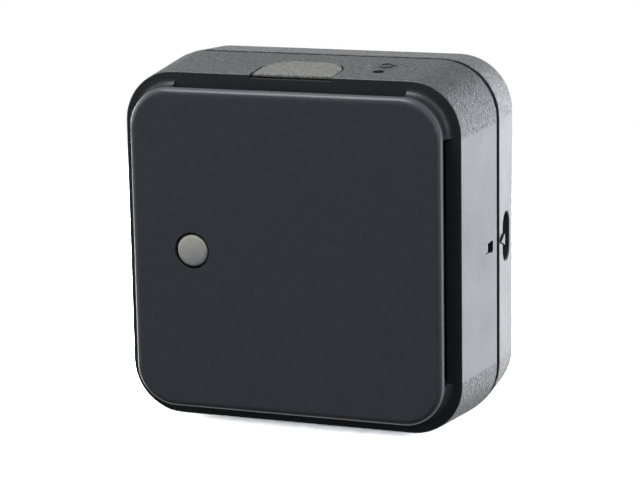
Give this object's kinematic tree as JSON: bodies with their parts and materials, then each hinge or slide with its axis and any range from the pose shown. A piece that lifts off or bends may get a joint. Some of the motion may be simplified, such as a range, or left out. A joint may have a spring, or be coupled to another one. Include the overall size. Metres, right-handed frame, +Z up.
{
  "type": "rack temperature sensor",
  "caption": "Small square wireless temperature sensor for a server rack, with a proud vented front plate, a status lens, an arched top key, a reset pinhole and a side power port.",
  "frame": {"origin": "middle of the footprint: the bottom centre of the part's bounding box, standing on its lower side wall", "axes": "-Y is the front, where the plate faces; +Z is up; +X is the side with the power port"},
  "size_m": [0.0664, 0.0346, 0.066],
  "materials": {
    "front_shell": "dark blue-grey moulding, satin plate and fine spark texture on the walls",
    "back_cover": "dark blue-grey moulding, fine spark texture",
    "key_plastic": "warm grey, coarse grain",
    "lens_plastic": "frosted translucent grey",
    "board_laminate": "green solder mask",
    "chip_black": "black moulding compound",
    "switch_plunger": "natural nylon",
    "lamp_white": "milky resin",
    "chip_ceramic": "tan ceramic",
    "tinned_metal": "tinned",
    "screw_steel": "zinc plated",
    "cell_can": "plastic sleeve over a metal can"
  },
  "bodies": {
    "housing": {"front_shell": "front_shell", "back_cover": "back_cover", "light_pipe": "lens_plastic", "circuit_board": "board_laminate", "power_board": "board_laminate", "radio_board": "board_laminate", "temperature_sensor": "chip_black", "microcontroller": "chip_black", "button_switch_body": "chip_black", "reset_switch_body": "chip_black", "port_socket_tongue": "chip_black", "battery_holder": "chip_black", "board_header": "chip_black", "board_socket": "chip_black", "status_lamp": "lamp_white", "front_chip_1": "chip_ceramic", "front_chip_2": "chip_ceramic", "front_chip_3": "chip_ceramic", "front_chip_4": "chip_ceramic", "back_chip_1": "chip_ceramic", "back_chip_2": "chip_ceramic", "back_chip_3": "chip_ceramic", "back_chip_4": "chip_ceramic", "power_chip_1": "chip_ceramic", "power_chip_2": "chip_ceramic", "radio_antenna": "chip_ceramic", "radio_shield": "tinned_metal", "clock_crystal": "tinned_metal", "port_socket_shell": "tinned_metal", "battery_contact_plus": "tinned_metal", "battery_contact_minus": "tinned_metal", "board_screw_1": "screw_steel", "board_screw_2": "screw_steel", "board_screw_3": "screw_steel", "board_screw_4": "screw_steel", "power_screw_1": "screw_steel", "power_screw_2": "screw_steel", "battery_cell": "cell_can"},
    "key": {"top_button": "key_plastic", "button_switch_plunger": "switch_plunger"},
    "reset": {"reset_switch_plunger": "switch_plunger"}
  },
  "joints": [
    {"name": "key_press", "type": "slide", "parent": "housing", "child": "key", "axis": [0, 0, -1], "range_m": [0, 0.00025], "stiffness_N_per_m": 4000},
    {"name": "reset_press", "type": "slide", "parent": "housing", "child": "reset", "axis": [0, 0, -1], "range_m": [0, 0.00025], "stiffness_N_per_m": 4000}
  ]
}
